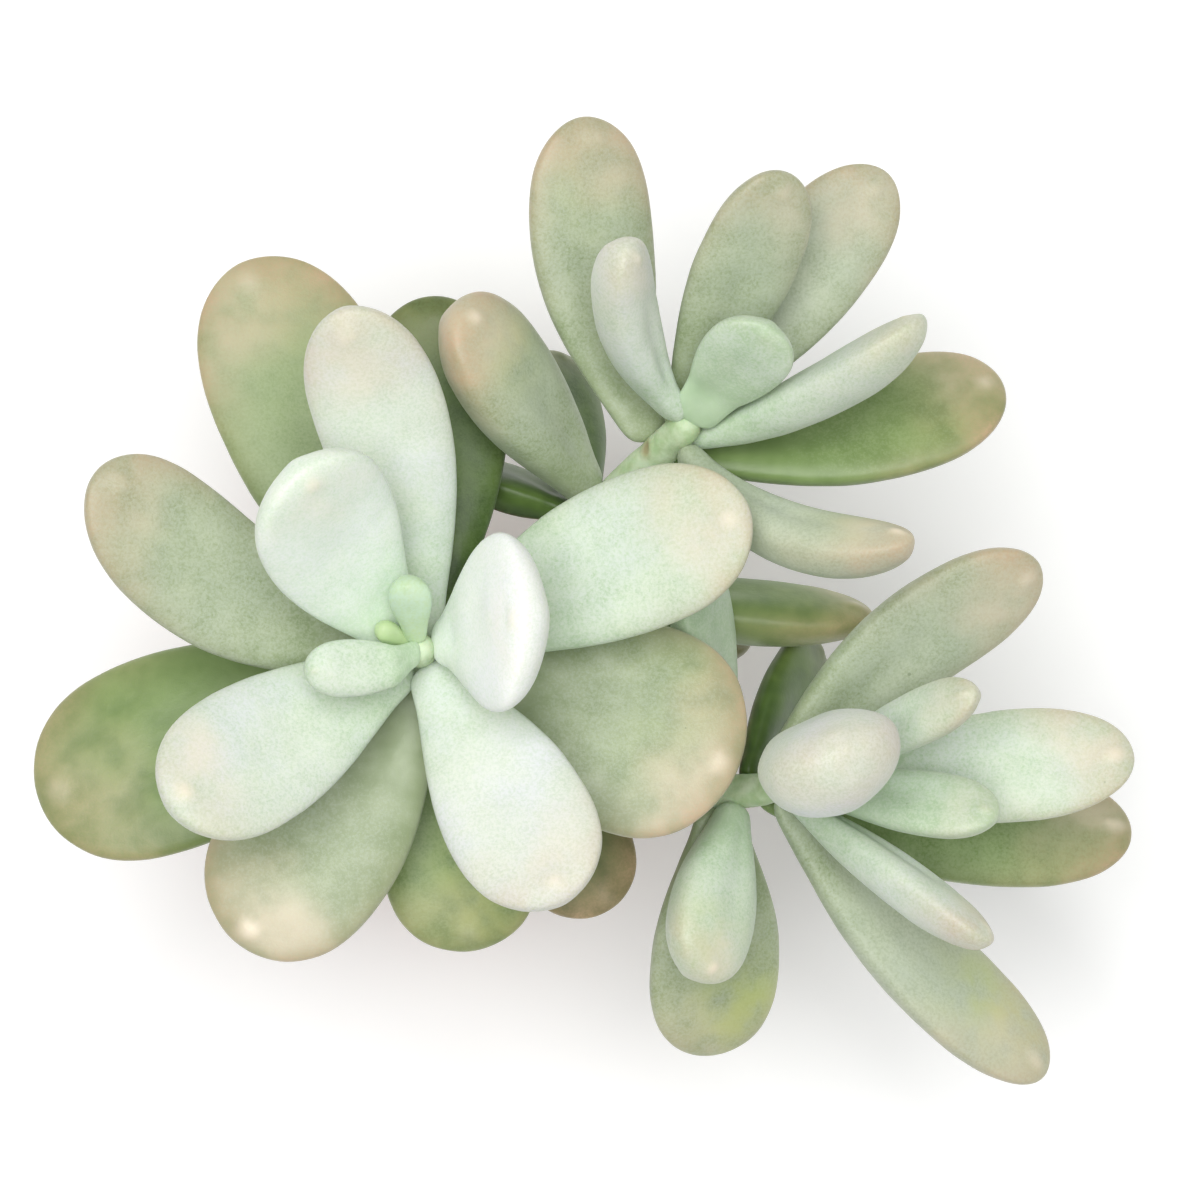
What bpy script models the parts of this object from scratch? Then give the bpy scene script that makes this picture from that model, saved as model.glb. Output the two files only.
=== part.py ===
"""Potted succulent: a branching, thick-leaved rosette plant in a plain clay pot.

Run it with: blender --background --python part.py

Every leaf is an object of its own, because each one comes away from the stem by itself.
The stem with its two side branches grew as one piece, so it is one object. The soil and
the pot are one object each. Lengths are written in millimetres and turned to metres by MM.
The origin is the middle of the pot's underside, and +Z is up.
"""

import math
from dataclasses import dataclass

import bmesh
import bpy
from mathutils import Matrix, Quaternion, Vector
from mathutils.geometry import interpolate_bezier

MM = 0.001

# Pot: a plain tapered pot with a rim band and drain holes round the middle of its base.
POT_HEIGHT = 66.0
POT_RIM_RADIUS = 34.5
POT_RIM_DEPTH = 16.0
POT_RIM_STEP = 2.4
POT_FOOT_RADIUS = 25.0
POT_WALL = 4.4
POT_FLOOR = 6.0
POT_SIDES = 48
DRAIN_HOLES = 3
DRAIN_RADIUS = 3.5
DRAIN_RING = 13.0
DRAIN_SIDES = 16

# Soil: fills the pot to a little below the lip, and is crowned where the stem comes out.
SOIL_BELOW_LIP = 8.0
SOIL_CROWN = 2.5
CLEARANCE = 0.3

# Stem: the plant's own wood, thickest at the root.
STEM_SIDES = 12

# Leaves: how the blank that every leaf is bent from is divided.
LEAF_SIDES = 12
LEAF_RINGS = 10
MIDRIB_STEPS = 24
WIDEST_AT = 0.64
THICKEST_AT = 0.52
BASE_CAP = 0.05
TIP_FULLNESS = 2.6
UPPER_SHARE = 0.42


@dataclass(frozen=True)
class Shoot:
    """A stem or a branch: a Bezier curve from its root to its growing tip, in millimetres.

    Its points are (x, y, height above the pot's lip), so that a taller pot lifts the plant.
    A branch takes its root from the main stem, fork behind the main stem's growing tip.
    """

    root: tuple
    root_handle: tuple
    crown_handle: tuple
    crown: tuple
    root_radius: float
    crown_radius: float
    fork: float = 0.0


SHOOTS = {
    "main": Shoot((0, 0, -22), (0, 0, 24), (0, 13, 34), (0, 13, 62), 5.4, 2.8),
    "upper": Shoot((), (14, 20, 18), (38, 45, 26), (48, 53.5, 46), 4.4, 3.0, fork=52),
    "lower": Shoot((), (30, -8, 14), (60, -20, 18), (67.5, -9, 36), 4.2, 2.8, fork=52),
}


@dataclass(frozen=True)
class Leaf:
    """One leaf. Lengths in millimetres, angles in degrees.

    back is how far behind the shoot's growing tip it grows. heading is its compass course,
    counter-clockwise from +X, and rise its slope above level, both from base to tip in a
    straight line. sweep and curl are how far heading and rise turn along the leaf. roll turns
    the blade about its own length, from facing the shoot's tip. seat is where round the shoot
    it grows, when that is not where it heads. cup lifts both edges, and neck is the width
    near the base, each as a share of the blade's half width.
    """

    name: str
    shoot: str
    back: float
    heading: float
    rise: float
    length: float
    width: float
    thickness: float
    curl: float = 20.0
    sweep: float = 0.0
    roll: float = 0.0
    seat: float = None
    cup: float = 0.10
    neck: float = 0.34


LEAVES = (
    # Main rosette, youngest first.
    Leaf("main_leaf_01", "main", 1.5, 150, 45, 6.5, 4, 4, 10, neck=0.7),
    Leaf("main_leaf_02", "main", 0.0, 98, 40, 12, 7.5, 6, 10, neck=0.45),
    Leaf("main_leaf_03", "main", -2.5, 182, 18, 22, 10, 7, 20, seat=-60, neck=0.42),
    Leaf("main_leaf_04", "main", 4.5, 18, 57, 32, 31, 11, 34, roll=-14, neck=0.2),
    Leaf("main_leaf_05", "main", 6.5, 117, 46, 49, 26, 11, 40, sweep=-35),
    Leaf("main_leaf_06", "main", 8.5, -59, 26, 52, 26, 11, 30),
    Leaf("main_leaf_07", "main", 10.5, 212, 28, 53, 26, 11, 30),
    Leaf("main_leaf_08", "main", 12.5, 103, 28, 66, 23, 11, 40, sweep=20),
    Leaf("main_leaf_09", "main", 15.0, 23, 14, 62, 28, 11, 25, sweep=-12),
    Leaf("main_leaf_10", "main", 16.0, 147, 14, 66, 25, 11, 30, sweep=-50),
    Leaf("main_leaf_11", "main", 18.5, -124, 6, 57, 32, 11, 20, sweep=-17, neck=0.4),
    Leaf("main_leaf_12", "main", 20.5, -18, 4, 56, 39, 11, 20),
    Leaf("main_leaf_13", "main", 23.0, 88, -7, 64, 27, 11, 20),
    Leaf("main_leaf_14", "main", 25.5, 199, -6, 71, 37, 11, 20),
    Leaf("main_leaf_15", "main", 27.0, -80, -4, 48, 28, 10, 20),
    Leaf("main_leaf_16", "main", 30.0, 114, -8, 80, 34, 10, 20),
    Leaf("main_leaf_17", "main", 33.5, -51, -14, 52, 24, 8, 20),
    # Upper branch, youngest first.
    Leaf("upper_leaf_01", "upper", -1.5, 47, 49, 26, 16, 7, 10, neck=0.5),
    Leaf("upper_leaf_02", "upper", 1.0, 106, 45, 42, 13, 11, 30, sweep=-50, seat=140),
    Leaf("upper_leaf_03", "upper", 7.0, 66, 21, 51, 19, 9, 20, neck=0.25),
    Leaf("upper_leaf_04", "upper", 6.5, 27, 28, 51, 17, 10, 20, sweep=20, roll=-50, neck=0.2),
    Leaf("upper_leaf_05", "upper", 5.5, -22, 22, 49, 13, 11, 10, sweep=70),
    Leaf("upper_leaf_06", "upper", 10.0, 51, -2, 62, 21, 9, 20, neck=0.25),
    Leaf("upper_leaf_07", "upper", 12.0, 12, -5, 62, 25, 10, 15, sweep=15, neck=0.25),
    Leaf("upper_leaf_08", "upper", 11.5, 101, 6, 59, 23, 10, 20, sweep=-30, roll=-30),
    Leaf("upper_leaf_09", "upper", 27.5, 127, 32, 47, 22, 14, 10, roll=-25),
    Leaf("upper_leaf_10", "upper", 31.0, 103, -22, 31, 17, 9, 10),
    Leaf("upper_leaf_11", "upper", 34.0, 158, -22, 24, 17, 8, 6, neck=0.25),
    Leaf("upper_leaf_12", "upper", 48.0, -5, -6, 60, 15, 11, 16, sweep=4),
    Leaf("upper_leaf_13", "upper", 56.0, -5, -23, 46, 18, 9, 10, sweep=4),
    # Lower branch, youngest first.
    Leaf("lower_leaf_01", "lower", 3.5, -8, 23, 37, 13, 8, 20, neck=0.4),
    Leaf("lower_leaf_02", "lower", -1.0, 15, 76, 38, 25, 18, 10, seat=165, roll=35, cup=0.0),
    Leaf("lower_leaf_03", "lower", 0.0, 28, 37, 39, 10, 8, 20, neck=0.45),
    Leaf("lower_leaf_04", "lower", 8.0, 5, 2, 63, 21, 9, 20, neck=0.25),
    Leaf("lower_leaf_05", "lower", 6.5, -36, 21, 46, 13, 9, 15, roll=-35, neck=0.25),
    Leaf("lower_leaf_06", "lower", 11.0, 38, 2, 63, 21, 10, 15, sweep=-24, neck=0.25),
    Leaf("lower_leaf_07", "lower", 14.0, -6, -17, 74, 22, 10, 17, sweep=18, neck=0.25),
    Leaf("lower_leaf_08", "lower", 9.5, -46, -9, 72, 22, 10, 15, sweep=14, neck=0.25),
    Leaf("lower_leaf_09", "lower", 16.0, 61, -40, 37, 18, 8, 10),
    Leaf("lower_leaf_10", "lower", 17.0, -103, 26, 34, 18, 13, 10, roll=15),
    Leaf("lower_leaf_11", "lower", 21.0, -92, -14, 48, 26, 10, 10, roll=40),
    Leaf("lower_leaf_12", "lower", 20.0, 98, 14, 42, 18, 9, 10),
)


def clear_scene():
    """Removes whatever the scene holds."""
    for old in list(bpy.data.objects):
        bpy.data.objects.remove(old)


def material(name, colour, roughness):
    """A plain Principled BSDF."""
    made = bpy.data.materials.new(name)
    made.use_nodes = True
    shader = made.node_tree.nodes["Principled BSDF"]
    shader.inputs["Base Color"].default_value = (*colour, 1.0)
    shader.inputs["Roughness"].default_value = roughness
    shader.inputs["Metallic"].default_value = 0.0
    return made


def add_object(name, bm, finish):
    """Turns a bmesh in millimetres into a named object in metres, shaded smooth."""
    bm.normal_update()
    bmesh.ops.recalc_face_normals(bm, faces=bm.faces)
    mesh = bpy.data.meshes.new(name)
    bm.to_mesh(mesh)
    bm.free()
    mesh.transform(Matrix.Scale(MM, 4))
    mesh.shade_smooth()
    mesh.set_sharp_from_angle(angle=math.radians(40))
    mesh.materials.append(finish)
    made = bpy.data.objects.new(name, mesh)
    bpy.context.collection.objects.link(made)
    return made


def turned(profile, sides):
    """A bmesh turned about Z from a profile of (radius, height) points, listed once round."""
    bm = bmesh.new()
    points = [bm.verts.new((radius, 0.0, height)) for radius, height in profile]
    edges = [bm.edges.new(pair) for pair in zip(points, points[1:])]
    if profile[0][0] > 0.0:
        edges.append(bm.edges.new((points[-1], points[0])))
    bmesh.ops.spin(
        bm,
        geom=points + edges,
        axis=(0, 0, 1),
        cent=(0, 0, 0),
        angle=math.tau,
        steps=sides,
        use_merge=True,
    )
    bmesh.ops.remove_doubles(bm, verts=bm.verts, dist=0.001)
    return bm


class Path:
    """A shoot's centre line, measured back from its growing tip."""

    STEPS = 40

    def __init__(self, shoot, parent=None):
        lip = Vector((0, 0, POT_HEIGHT))
        root = parent.at(shoot.fork)[0] if parent else lip + Vector(shoot.root)
        corners = [lip + Vector(p) for p in (shoot.root_handle, shoot.crown_handle, shoot.crown)]
        self.points = interpolate_bezier(root, *corners, self.STEPS)
        self.shoot = shoot
        self.run = [0.0]
        for a, b in zip(self.points, self.points[1:]):
            self.run.append(self.run[-1] + (b - a).length)

    def at(self, back):
        """(point, direction towards the tip, radius) at a distance behind the growing tip.

        A distance below nought lies past the tip.
        """
        along = self.run[-1] - back
        last = len(self.run) - 2
        i = max((k for k in range(last + 1) if self.run[k] <= along), default=0)
        a, b = self.points[i], self.points[i + 1]
        share = (along - self.run[i]) / (self.run[i + 1] - self.run[i])
        whole = min(along / self.run[-1], 1.0)
        radius = self.shoot.root_radius + (self.shoot.crown_radius - self.shoot.root_radius) * whole
        return a.lerp(b, share), (b - a).normalized(), radius


def tube(path, grow=0.0):
    """A bmesh tube along a path, with a domed growing tip and a flat root, grown all round."""
    bm = bmesh.new()
    total = path.run[-1]
    dome = 3.0
    stations = [total - step * total / 14 for step in range(14)]
    stations = [back for back in stations if back > dome + 1.0] + [dome, 1.2, 0.3]
    rings = []
    side = None
    for back in stations:
        point, along, radius = path.at(back)
        if side is None:
            side = along.orthogonal().normalized()
        side = (side - along * side.dot(along)).normalized()
        up = along.cross(side)
        if back < dome:
            radius *= math.sqrt(1.0 - (1.0 - back / dome) ** 2)
        if back == total:
            point -= along * grow
        radius += grow
        turn = [math.tau * k / STEM_SIDES for k in range(STEM_SIDES)]
        rings.append([bm.verts.new(point + (side * math.cos(a) + up * math.sin(a)) * radius) for a in turn])
    for low, high in zip(rings, rings[1:]):
        for k in range(STEM_SIDES):
            n = (k + 1) % STEM_SIDES
            bm.faces.new((low[k], low[n], high[n], high[k]))
    bm.faces.new(reversed(rings[0]))
    bm.faces.new(rings[-1])
    return bm


def add_stem(paths, finish):
    """The main stem, with each branch joined to it by a union."""
    stem = add_object("stem", tube(paths["main"]), finish)
    for name in ("upper", "lower"):
        branch = add_object(name + "_branch_form", tube(paths[name]), finish)
        branch.hide_render = True
        branch.display_type = "WIRE"
        union = stem.modifiers.new(name, "BOOLEAN")
        union.operation = "UNION"
        union.object = branch
    return stem


def blade_width(u, neck):
    """Half width along the leaf, as a share of the widest: a narrow neck, then a rounded spoon."""
    if u > WIDEST_AT:
        return math.sqrt(max(0.0, 1.0 - ((u - WIDEST_AT) / (1.0 - WIDEST_AT)) ** TIP_FULLNESS))
    swell = math.cos(math.pi / 2 * (WIDEST_AT - u) / WIDEST_AT) ** 1.3
    return (neck + (1.0 - neck) * swell) * base_cap(u)


def blade_thickness(u, neck):
    """Half thickness along the leaf, as a share of the thickest."""
    if u > THICKEST_AT:
        return math.sqrt(max(0.0, 1.0 - ((u - THICKEST_AT) / (1.0 - THICKEST_AT)) ** TIP_FULLNESS))
    swell = math.sin(math.pi / 2 * u / THICKEST_AT)
    return (neck + (1.0 - neck) * swell) * base_cap(u)


def base_cap(u):
    """Rounds the end that meets the stem."""
    return math.sqrt(1.0 - (1.0 - u / BASE_CAP) ** 2) if u < BASE_CAP else 1.0


def course(heading, rise):
    """The direction with that heading and rise, in degrees."""
    h, r = math.radians(heading), math.radians(rise)
    return Vector((math.cos(h) * math.cos(r), math.sin(h) * math.cos(r), math.sin(r)))


def midrib(leaf, path):
    """The leaf's centre line as (point, direction, upward normal) at MIDRIB_STEPS + 1 places."""
    root, along, radius = path.at(leaf.back)
    first = course(leaf.heading - leaf.sweep / 2, leaf.rise - leaf.curl / 2)
    seat = first if leaf.seat is None else course(leaf.seat, 0)
    outward = (seat - along * seat.dot(along)).normalized()
    point = root + outward * (radius + CLEARANCE)
    normal = (along - first * along.dot(first)).normalized()
    normal = Quaternion(first, math.radians(leaf.roll)) @ normal
    direction = first
    frames = [(point, direction, normal)]
    for step in range(MIDRIB_STEPS):
        u = (step + 0.5) / MIDRIB_STEPS
        heading = leaf.heading + leaf.sweep * (u - 0.5)
        rise = leaf.rise + leaf.curl * (u - 0.5)
        onward = course(heading, rise)
        normal = direction.rotation_difference(onward) @ normal
        direction = onward
        point = point + direction * (leaf.length / MIDRIB_STEPS)
        frames.append((point, direction, normal))
    return frames


def add_leaf(leaf, path, finish):
    """A ball drawn out into a spoon-shaped blade and bent along the leaf's centre line."""
    bm = bmesh.new()
    bmesh.ops.create_uvsphere(bm, u_segments=LEAF_SIDES, v_segments=LEAF_RINGS, radius=1.0)
    frames = midrib(leaf, path)
    for vert in bm.verts:
        x, y, z = vert.co
        u = (1.0 + z) / 2
        reach = math.hypot(x, y) or 1.0
        x, y = x / reach, y / reach
        half_width = leaf.width / 2 * blade_width(u, leaf.neck)
        share = UPPER_SHARE if y > 0 else 1 - UPPER_SHARE
        half_thickness = leaf.thickness * share * blade_thickness(u, leaf.neck + 0.1)
        place = u * MIDRIB_STEPS
        i = min(int(place), MIDRIB_STEPS - 1)
        point = frames[i][0].lerp(frames[i + 1][0], place - i)
        direction = frames[i][1].lerp(frames[i + 1][1], place - i).normalized()
        normal = frames[i][2].lerp(frames[i + 1][2], place - i)
        normal = (normal - direction * normal.dot(direction)).normalized()
        side = direction.cross(normal)
        if reach == 1.0 and abs(z) > 0.9999:
            vert.co = point
            continue
        lift = leaf.cup * half_width * x * x
        vert.co = point + side * (half_width * x) + normal * (half_thickness * y + lift)
    return add_object(leaf.name, bm, finish)


def add_soil(stem_path, finish):
    """The soil, a plug that follows the pot's inside, with a socket cut for the buried stem."""
    top = POT_HEIGHT - SOIL_BELOW_LIP
    bottom = POT_FLOOR + CLEARANCE
    profile = [
        (0.0, bottom),
        (inside_radius(bottom) - CLEARANCE, bottom),
        (inside_radius(top) - CLEARANCE, top),
        (inside_radius(top) * 0.6, top + SOIL_CROWN * 0.8),
        (0.0, top + SOIL_CROWN),
    ]
    soil = add_object("soil", turned(profile, POT_SIDES), finish)
    form = add_object("stem_socket_form", tube(stem_path, CLEARANCE), finish)
    form.hide_render = True
    form.display_type = "WIRE"
    socket = soil.modifiers.new("socket", "BOOLEAN")
    socket.operation = "DIFFERENCE"
    socket.object = form
    return soil


def outside_radius(height):
    """The pot's outer radius below its rim band."""
    top = POT_HEIGHT - POT_RIM_DEPTH
    shoulder = POT_RIM_RADIUS - POT_RIM_STEP
    return POT_FOOT_RADIUS + (shoulder - POT_FOOT_RADIUS) * min(height, top) / top


def inside_radius(height):
    """The pot's inner radius."""
    return POT_FOOT_RADIUS - POT_WALL + (POT_RIM_RADIUS - POT_FOOT_RADIUS) * height / POT_HEIGHT


def add_pot(finish):
    """The pot, turned as one piece, then drilled."""
    shoulder = POT_HEIGHT - POT_RIM_DEPTH
    profile = [
        (0.0, 0.0),
        (POT_FOOT_RADIUS - 1.0, 0.0),
        (POT_FOOT_RADIUS, 1.0),
        (outside_radius(shoulder), shoulder),
        (POT_RIM_RADIUS - 0.8, shoulder),
        (POT_RIM_RADIUS, shoulder + 1.0),
        (POT_RIM_RADIUS, POT_HEIGHT - 1.2),
        (POT_RIM_RADIUS - 1.2, POT_HEIGHT),
        (inside_radius(POT_HEIGHT) + 1.0, POT_HEIGHT),
        (inside_radius(POT_HEIGHT), POT_HEIGHT - 1.0),
        (inside_radius(POT_FLOOR), POT_FLOOR),
        (0.0, POT_FLOOR),
    ]
    pot = add_object("pot", turned(profile, POT_SIDES), finish)
    for number in range(DRAIN_HOLES):
        turn = math.tau * number / DRAIN_HOLES
        bm = bmesh.new()
        bmesh.ops.create_cone(
            bm,
            cap_ends=True,
            segments=DRAIN_SIDES,
            radius1=DRAIN_RADIUS,
            radius2=DRAIN_RADIUS,
            depth=POT_FLOOR * 3,
        )
        centre = Vector((math.cos(turn), math.sin(turn), 0)) * DRAIN_RING
        bmesh.ops.translate(bm, verts=bm.verts, vec=centre)
        drill = add_object(f"drain_drill_{number + 1}", bm, finish)
        drill.hide_render = True
        drill.display_type = "WIRE"
        cut = pot.modifiers.new(drill.name, "BOOLEAN")
        cut.operation = "DIFFERENCE"
        cut.object = drill
    return pot


def main():
    clear_scene()
    paths = {"main": Path(SHOOTS["main"])}
    for name in ("upper", "lower"):
        paths[name] = Path(SHOOTS[name], paths["main"])
    leaf_skin = material("leaf_skin", (0.60, 0.72, 0.56), 0.55)
    stem_skin = material("stem_skin", (0.45, 0.52, 0.30), 0.6)
    clay = material("fired_clay", (0.52, 0.22, 0.12), 0.85)
    earth = material("potting_soil", (0.06, 0.04, 0.03), 0.95)
    add_pot(clay)
    add_soil(paths["main"], earth)
    add_stem(paths, stem_skin)
    for leaf in LEAVES:
        add_leaf(leaf, paths[leaf.shoot], leaf_skin)


main()
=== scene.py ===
"""Potted succulent: a waxy, thick-leaved rosette plant with two side branches in a clay pot.

Each CAD leaf is read back as rings of points and rebuilt as one smooth leaf. The stem, the
soil and the pot are rebuilt from their own CAD nodes. All of it stands in the CAD's frame, in
metres, and rides on the part's one body.
"""

import sys

import logging
import math
from dataclasses import dataclass
from enum import Enum

import bmesh
import bpy
import numpy as np
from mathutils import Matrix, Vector, noise
from mathutils.bvhtree import BVHTree
from mathutils.kdtree import KDTree


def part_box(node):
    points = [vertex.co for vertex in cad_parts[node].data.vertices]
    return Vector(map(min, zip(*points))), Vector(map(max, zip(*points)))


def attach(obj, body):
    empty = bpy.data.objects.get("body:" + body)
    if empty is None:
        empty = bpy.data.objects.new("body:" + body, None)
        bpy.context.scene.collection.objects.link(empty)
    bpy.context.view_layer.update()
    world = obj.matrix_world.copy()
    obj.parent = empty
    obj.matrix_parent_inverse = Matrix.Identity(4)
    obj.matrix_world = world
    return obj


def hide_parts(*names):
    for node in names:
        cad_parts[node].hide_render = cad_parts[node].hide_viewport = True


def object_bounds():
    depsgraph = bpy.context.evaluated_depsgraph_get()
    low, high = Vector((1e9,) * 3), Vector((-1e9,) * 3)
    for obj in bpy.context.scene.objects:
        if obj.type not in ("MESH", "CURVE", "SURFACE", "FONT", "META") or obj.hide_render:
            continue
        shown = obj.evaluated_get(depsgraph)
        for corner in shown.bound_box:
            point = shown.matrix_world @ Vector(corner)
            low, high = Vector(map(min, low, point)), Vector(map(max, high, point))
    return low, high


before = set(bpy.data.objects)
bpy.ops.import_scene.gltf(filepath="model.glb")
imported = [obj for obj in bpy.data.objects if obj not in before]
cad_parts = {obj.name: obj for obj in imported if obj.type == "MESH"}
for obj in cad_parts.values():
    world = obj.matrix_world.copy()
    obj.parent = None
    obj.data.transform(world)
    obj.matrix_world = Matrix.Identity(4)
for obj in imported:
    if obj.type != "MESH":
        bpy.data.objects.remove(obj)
CAD_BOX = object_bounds()

BODY = "root"
MM = 0.001

log = logging.getLogger("succulent")


# ---------------------------------------------------------------- colours and nodes


def linear(colour: str) -> tuple[float, float, float, float]:
    """Turns an sRGB hex colour into the linear values that a shader takes.

    Args:
        colour: The colour as "#RRGGBB".

    Returns:
        Linear red, green, blue and an alpha of 1.
    """
    shares = [int(colour[at : at + 2], 16) / 255 for at in (1, 3, 5)]
    bright = [s / 12.92 if s <= 0.04045 else ((s + 0.055) / 1.055) ** 2.4 for s in shares]
    return (*bright, 1.0)


def per_metre(millimetres: float) -> float:
    """Gives the pattern scale whose repeats are this many millimetres apart."""
    return 1000 / millimetres


# Numbers of the Mix node's colour inputs and of its colour output, and the settings that make
# it mix colours. Map Range nodes ease in and out.
UNDER, OVER, MIXED = 6, 7, 2
COLOURS = {"data_type": "RGBA"}
EASED = {"interpolation_type": "SMOOTHSTEP"}


class Finish:
    """A material made of nodes: the part that all finishes share."""

    def begin(self, name: str, **constants: object) -> None:
        """Starts the material with one Principled shader.

        Args:
            name: The material's name.
            constants: Values of the shader's sockets, with _ for each space in their names.
        """
        self.material = bpy.data.materials.new(name)
        self.material.use_nodes = True
        self.tree = self.material.node_tree
        self.shader = self.tree.nodes["Principled BSDF"]
        for socket, value in constants.items():
            self.shader.inputs[socket.replace("_", " ")].default_value = value
        self.place = self.add("TexCoord", output="Object")

    def add(
        self, kind: str, inputs: dict | tuple = (), output: str | int = 0, **settings: object
    ) -> bpy.types.NodeSocket:
        """Adds one node with its settings and its inputs.

        Args:
            kind: The node's type name, without "ShaderNode".
            inputs: What each input gets, by name or number or in order: a socket is linked, a
                hex colour or any other value is set.
            output: The name or number of the output that is returned.
            settings: The node's own properties.

        Returns:
            The output's socket.
        """
        node = self.tree.nodes.new("ShaderNode" + kind)
        for name, value in settings.items():
            setattr(node, name, value)
        for name, value in inputs.items() if isinstance(inputs, dict) else enumerate(inputs):
            if isinstance(value, bpy.types.NodeSocket):
                self.tree.links.new(value, node.inputs[name])
            else:
                node.inputs[name].default_value = linear(value) if isinstance(value, str) else value
        return node.outputs[output]

    def feed(self, **sockets: bpy.types.NodeSocket) -> bpy.types.Material:
        """Links sockets to the shader's inputs.

        Args:
            sockets: What feeds each input, with _ for each space in their names.

        Returns:
            The finished material.
        """
        for name, socket in sockets.items():
            self.tree.links.new(socket, self.shader.inputs[name.replace("_", " ")])
        return self.material


# ---------------------------------------------------------------- finishes


@dataclass
class LeafSkin(Finish):
    """Succulent leaf skin under a dusty wax bloom.

    The wax scatters light, so the skin looks matt and chalky where it is thick, and greener and
    a little glossier where it has been rubbed off. Margins and tips are blushed by the sun.
    """

    name: str
    flesh: str
    flesh_deep: str
    wax: str
    wax_cool: str
    blush: str = "#C8A688"
    # Pale creamy tip colour, which also paints the highlight on the raised point.
    cream_highlight: str = "#F1E4CD"
    bare: str = "#B2BE66"
    pit: str = "#6E7C5E"
    roughness: float = 0.40

    def build(self) -> bpy.types.Material:
        """Makes the material.

        Returns:
            The finished material.
        """
        self.begin(
            self.name,
            IOR=1.45,
            Subsurface_Weight=0.12,
            Subsurface_Radius=(0.9, 1.0, 0.4),
            Subsurface_Scale=0.0025,
            Sheen_Weight=0.12,
            Sheen_Roughness=0.6,
            Sheen_Tint=linear("#E9F3EA"),
        )
        bloom = self.add("Attribute", output="Fac", attribute_name="bloom")
        blush = self.add("Attribute", output="Fac", attribute_name="blush")
        cream_highlight = self.add("Attribute", output="Fac", attribute_name="cream_highlight")
        bare = self.add("Attribute", output="Fac", attribute_name="bare")
        # Blotches of a leaf's thumb-mark size, then the wax's own grain. The real grains are
        # about 0.05 mm and are drawn ten times as coarse, so that they show.
        spots = {"Vector": self.place, "Scale": per_metre(13), "Detail": 3.0}
        blotch = self.add("TexNoise", spots)
        cloud = self.add("TexNoise", spots | {"Scale": per_metre(6), "Detail": 2.0})
        flakes = self.add("TexNoise", spots | {"Scale": per_metre(0.8), "Roughness": 0.8})
        grains = {"Scale": per_metre(0.55), "Detail": 2.0, "Roughness": 0.7}
        dust = self.add("TexNoise", spots | grains)
        # Where the wax lies, from the stored bloom, the blotches and the lost grains.
        # Their sum is about 1 on average, so this adds nothing overall. The stored bloom is lower
        # towards the base, which paints the shade near the stem.
        uneven = self.add("Math", (blotch, cloud), operation="ADD")
        uneven = self.add("Math", (uneven, 0.2, -0.2), operation="MULTIPLY_ADD")
        cover = self.add("Math", (bloom, uneven), operation="ADD")
        speckle = self.add("MapRange", (dust, 0.35, 0.72, 0.0, 0.36), **EASED)
        cover = self.add("Math", (cover, speckle), operation="SUBTRACT", use_clamp=True)
        thin = self.add("Math", (1.0, bloom), operation="SUBTRACT", use_clamp=True)
        flaked = self.add("MapRange", (flakes, 0.5, 0.68, 0.0, 0.6), **EASED)
        flaked = self.add("Math", (flaked, thin), operation="MULTIPLY")
        cover = self.add("Math", (cover, flaked), operation="SUBTRACT", use_clamp=True)
        # Flesh under wax.
        deep = self.add("MapRange", (cloud, 0.2, 0.8), **EASED)
        flesh = {0: deep, UNDER: self.flesh_deep, OVER: self.flesh}
        flesh = self.add("Mix", flesh, MIXED, **COLOURS)
        cool = self.add("MapRange", (blotch, 0.35, 0.68), **EASED)
        wax = self.add("Mix", {0: cool, UNDER: self.wax, OVER: self.wax_cool}, MIXED, **COLOURS)
        skin = self.add("Mix", {0: cover, UNDER: flesh, OVER: wax}, MIXED, **COLOURS)
        rubbed = self.add("MapRange", (cloud, 0.2, 0.7), **EASED)
        rubbed = self.add("Math", (rubbed, bare), operation="MULTIPLY")
        skin = self.add("Mix", {0: rubbed, UNDER: skin, OVER: self.bare}, MIXED, **COLOURS)
        # Sun blush, then the pale creamy tips, which paint the highlight on their raised point.
        sunned = self.add("MapRange", (cloud, 0.22, 0.66, 0.55, 1.0), **EASED)
        sunned = self.add("Math", (sunned, blush), operation="MULTIPLY")
        grainy = self.add("MapRange", (dust, 0.3, 0.7, 0.72, 1.0), **EASED)
        sunned = self.add("Math", (sunned, grainy), operation="MULTIPLY")
        skin = self.add("Mix", {0: sunned, UNDER: skin, OVER: self.blush}, MIXED, **COLOURS)
        painted_tip_highlight = self.add("MapRange", (cloud, 0.25, 0.6, 0.6, 1.0), **EASED)
        painted_tip_highlight = self.add("Math", (painted_tip_highlight, cream_highlight), operation="MULTIPLY")
        skin = self.add("Mix", {0: painted_tip_highlight, UNDER: skin, OVER: self.cream_highlight}, MIXED, **COLOURS)
        # Small dark pits, about one in each square centimetre.
        cells = {"Vector": self.place, "Scale": per_metre(6.5)}
        centre = self.add("TexVoronoi", cells, "Distance")
        reach = self.add("TexNoise", spots | {"Scale": per_metre(9), "Detail": 2.0})
        reach = self.add("MapRange", (reach, 0.5, 0.75, 0.0, 0.085), **EASED)
        pits = self.add("Math", (reach, centre), operation="SUBTRACT")
        pits = self.add("MapRange", (pits, 0.0, 0.03, 0.0, 0.55), **EASED)
        skin = self.add("Mix", {0: pits, UNDER: skin, OVER: self.pit}, MIXED, **COLOURS)
        gloss = self.add("Math", (cover, 0.16, self.roughness), operation="MULTIPLY_ADD")
        soft = self.add("Bump", {"Height": cloud, "Distance": 0.25 * MM})
        rough = self.add("Bump", {"Height": dust, "Distance": 0.035 * MM, "Normal": soft})
        return self.feed(Base_Color=skin, Roughness=gloss, Normal=rough)


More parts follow.
